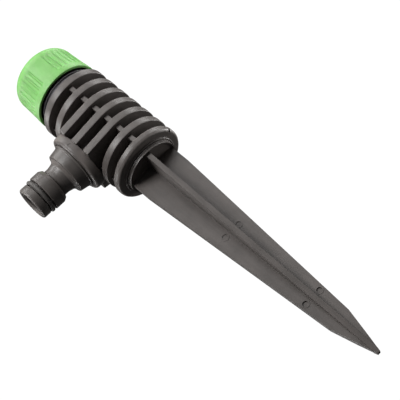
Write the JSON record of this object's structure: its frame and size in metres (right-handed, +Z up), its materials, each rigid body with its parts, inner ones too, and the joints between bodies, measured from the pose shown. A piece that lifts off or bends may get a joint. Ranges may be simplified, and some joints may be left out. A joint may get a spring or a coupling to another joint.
{
  "type": "sprinkler",
  "caption": "Garden spike sprinkler: ribbed round body on a cross-section ground spike, side quick-connect hose inlet, turning green dial with eight spray patterns.",
  "frame": {"origin": "on the body's axis at the underside of the spike's round plate, where the soil surface comes to", "axes": "+Z up along the body's axis from the spike's point to the dial, +X out along the hose connector"},
  "size_m": [0.0637, 0.0344, 0.2061],
  "materials": {
    "grey_plastic": "satin moulded",
    "green_plastic": "satin moulded",
    "dark_plastic": "satin moulded",
    "rubber": "matt",
    "steel": "bright",
    "white_plastic": "matt"
  },
  "bodies": {
    "base": {"finned_body": "grey_plastic", "ground_spike": "grey_plastic", "spike_retainer": "steel", "water_core": "dark_plastic", "core_o_ring": "rubber", "hose_nipple": "grey_plastic", "nipple_o_ring": "rubber", "inlet_o_ring": "rubber", "head_base": "dark_plastic", "head_screws": "steel", "bearing_washer": "white_plastic", "spindle_o_ring": "rubber", "seal_spring": "steel", "detent_spring": "steel", "dial_screw": "steel", "screw_washer": "steel"},
    "dial": {"rotor": "dark_plastic", "dial_shell": "green_plastic", "nozzle_gasket": "rubber", "nozzle_plate": "dark_plastic", "screw_cover": "green_plastic"},
    "seal": {"outlet_seal": "rubber"},
    "detent": {"detent_ball": "steel"}
  },
  "joints": [
    {"name": "dial_turn", "type": "hinge", "parent": "base", "child": "dial", "pos_m": [0, 0, 0.064], "axis": [0, 0, 1], "continuous": true},
    {"name": "seal_press", "type": "slide", "parent": "base", "child": "seal", "axis": [0, 0, 1], "range_m": [-0.0008, 0], "stiffness_N_per_m": 200, "deforming": ["seal_spring"]},
    {"name": "detent_click", "type": "slide", "parent": "base", "child": "detent", "axis": [0, 0, 1], "range_m": [0, 0.0006], "stiffness_N_per_m": 100, "springref_m": 0.0006, "deforming": ["detent_spring"]}
  ]
}
